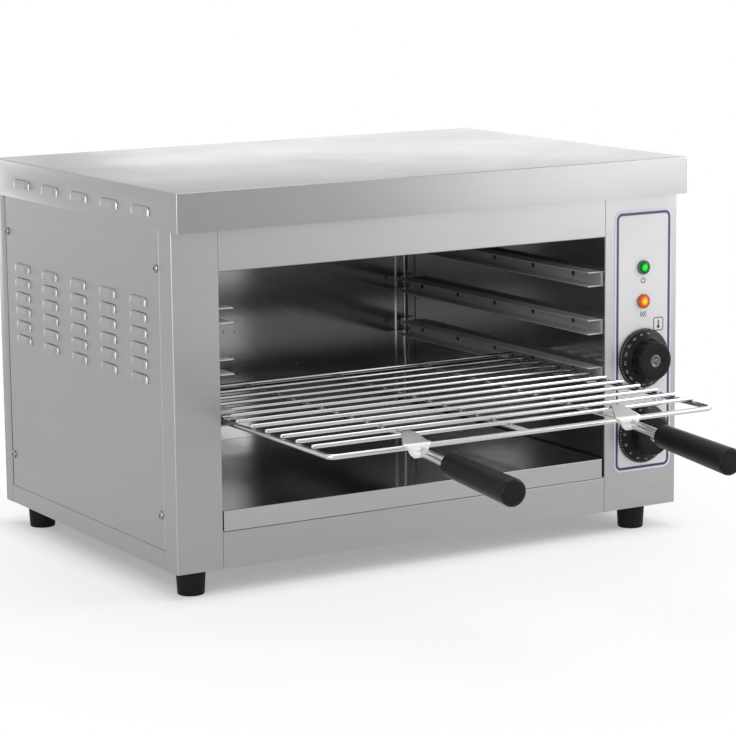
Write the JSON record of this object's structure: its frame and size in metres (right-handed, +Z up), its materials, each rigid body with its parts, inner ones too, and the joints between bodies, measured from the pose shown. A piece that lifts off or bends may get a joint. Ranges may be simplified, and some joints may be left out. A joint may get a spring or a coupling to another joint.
{
  "type": "cheese melter",
  "caption": "Countertop cheese melter: stainless casing with an open front, overhead heating elements, sliding wire rack with handles, crumb tray and knobs.",
  "frame": {"origin": "centre of the part's footprint, handles and cable gland included, at worktop height", "axes": "+Z up; the open front with its controls and handles faces -Y; +X to the right of a person facing the front"},
  "size_m": [0.5884, 0.7552, 0.387],
  "materials": {
    "casing_steel": "satin",
    "side_steel": "satin",
    "liner_steel": "satin",
    "rail_steel": "satin",
    "fastener_steel": "polished",
    "insulation": "matte",
    "zinc_steel": "satin",
    "element_sheath": "satin",
    "ceramic": "matte",
    "control_case": "satin",
    "copper": "satin",
    "lamp_bezel_green": "gloss",
    "green_lens": "gloss",
    "lamp_bezel_red": "gloss",
    "amber_lens": "gloss",
    "label_film": "satin",
    "lead_silicone": "matte",
    "gland_nylon": "matte",
    "foot_rubber": "matte",
    "knob_plastic": "matte",
    "tray_steel": "satin",
    "chrome_wire": "polished",
    "grip_plastic": "matte"
  },
  "bodies": {
    "casing": {"lid": "casing_steel", "base_pan": "side_steel", "left_front_post": "casing_steel", "control_panel": "casing_steel", "top_front_panel": "casing_steel", "bottom_front_panel": "casing_steel", "left_side_panel": "side_steel", "right_side_panel": "side_steel", "back_panel": "side_steel", "left_cavity_wall": "liner_steel", "right_cavity_wall": "liner_steel", "rear_cavity_wall": "liner_steel", "cavity_floor": "liner_steel", "heat_reflector": "liner_steel", "left_lower_rail": "rail_steel", "left_middle_rail": "rail_steel", "left_upper_rail": "rail_steel", "right_lower_rail": "rail_steel", "right_middle_rail": "rail_steel", "right_upper_rail": "rail_steel", "rail_rivets": "fastener_steel", "top_insulation": "insulation", "heat_shield": "zinc_steel", "front_heating_element": "element_sheath", "rear_heating_element": "element_sheath", "element_hangers": "liner_steel", "element_bushes": "ceramic", "thermostat_body": "control_case", "thermostat_bulb": "copper", "timer_body": "control_case", "green_lamp_body": "lamp_bezel_green", "green_lamp_lens": "green_lens", "amber_lamp_body": "lamp_bezel_red", "amber_lamp_lens": "amber_lens", "lamp_nuts": "fastener_steel", "control_label": "label_film", "terminal_block": "ceramic", "wiring_loom": "lead_silicone", "cable_gland": "gland_nylon", "casing_screws": "fastener_steel", "control_screws": "fastener_steel", "front_left_foot": "foot_rubber", "front_right_foot": "foot_rubber", "back_left_foot": "foot_rubber", "back_right_foot": "foot_rubber", "foot_screws": "fastener_steel"},
    "thermostat_control": {"thermostat_shaft": "fastener_steel", "thermostat_knob": "knob_plastic", "thermostat_knob_screw": "fastener_steel"},
    "timer_control": {"timer_shaft": "fastener_steel", "timer_knob": "knob_plastic", "timer_knob_screw": "fastener_steel"},
    "crumb_tray_slide": {"crumb_tray": "tray_steel"},
    "rack": {"rack_frame": "chrome_wire", "rack_cross_wires": "chrome_wire", "rack_long_wires": "chrome_wire", "left_handle_stem": "chrome_wire", "right_handle_stem": "chrome_wire", "left_grip": "grip_plastic", "right_grip": "grip_plastic"}
  },
  "joints": [
    {"name": "rack_slide", "type": "slide", "parent": "casing", "child": "rack", "axis": [0, -1, 0], "range_m": [-0.197, 0.11]},
    {"name": "tray_slide", "type": "slide", "parent": "casing", "child": "crumb_tray_slide", "axis": [0, -1, 0], "range_m": [0, 0.3]},
    {"name": "thermostat_turn", "type": "hinge", "parent": "casing", "child": "thermostat_control", "pos_m": [0.248, -0.0444, 0.181], "axis": [0, 1, 0], "range_deg": [0, 270]},
    {"name": "timer_turn", "type": "hinge", "parent": "casing", "child": "timer_control", "pos_m": [0.248, -0.0444, 0.103], "axis": [0, 1, 0], "range_deg": [0, 300]}
  ]
}
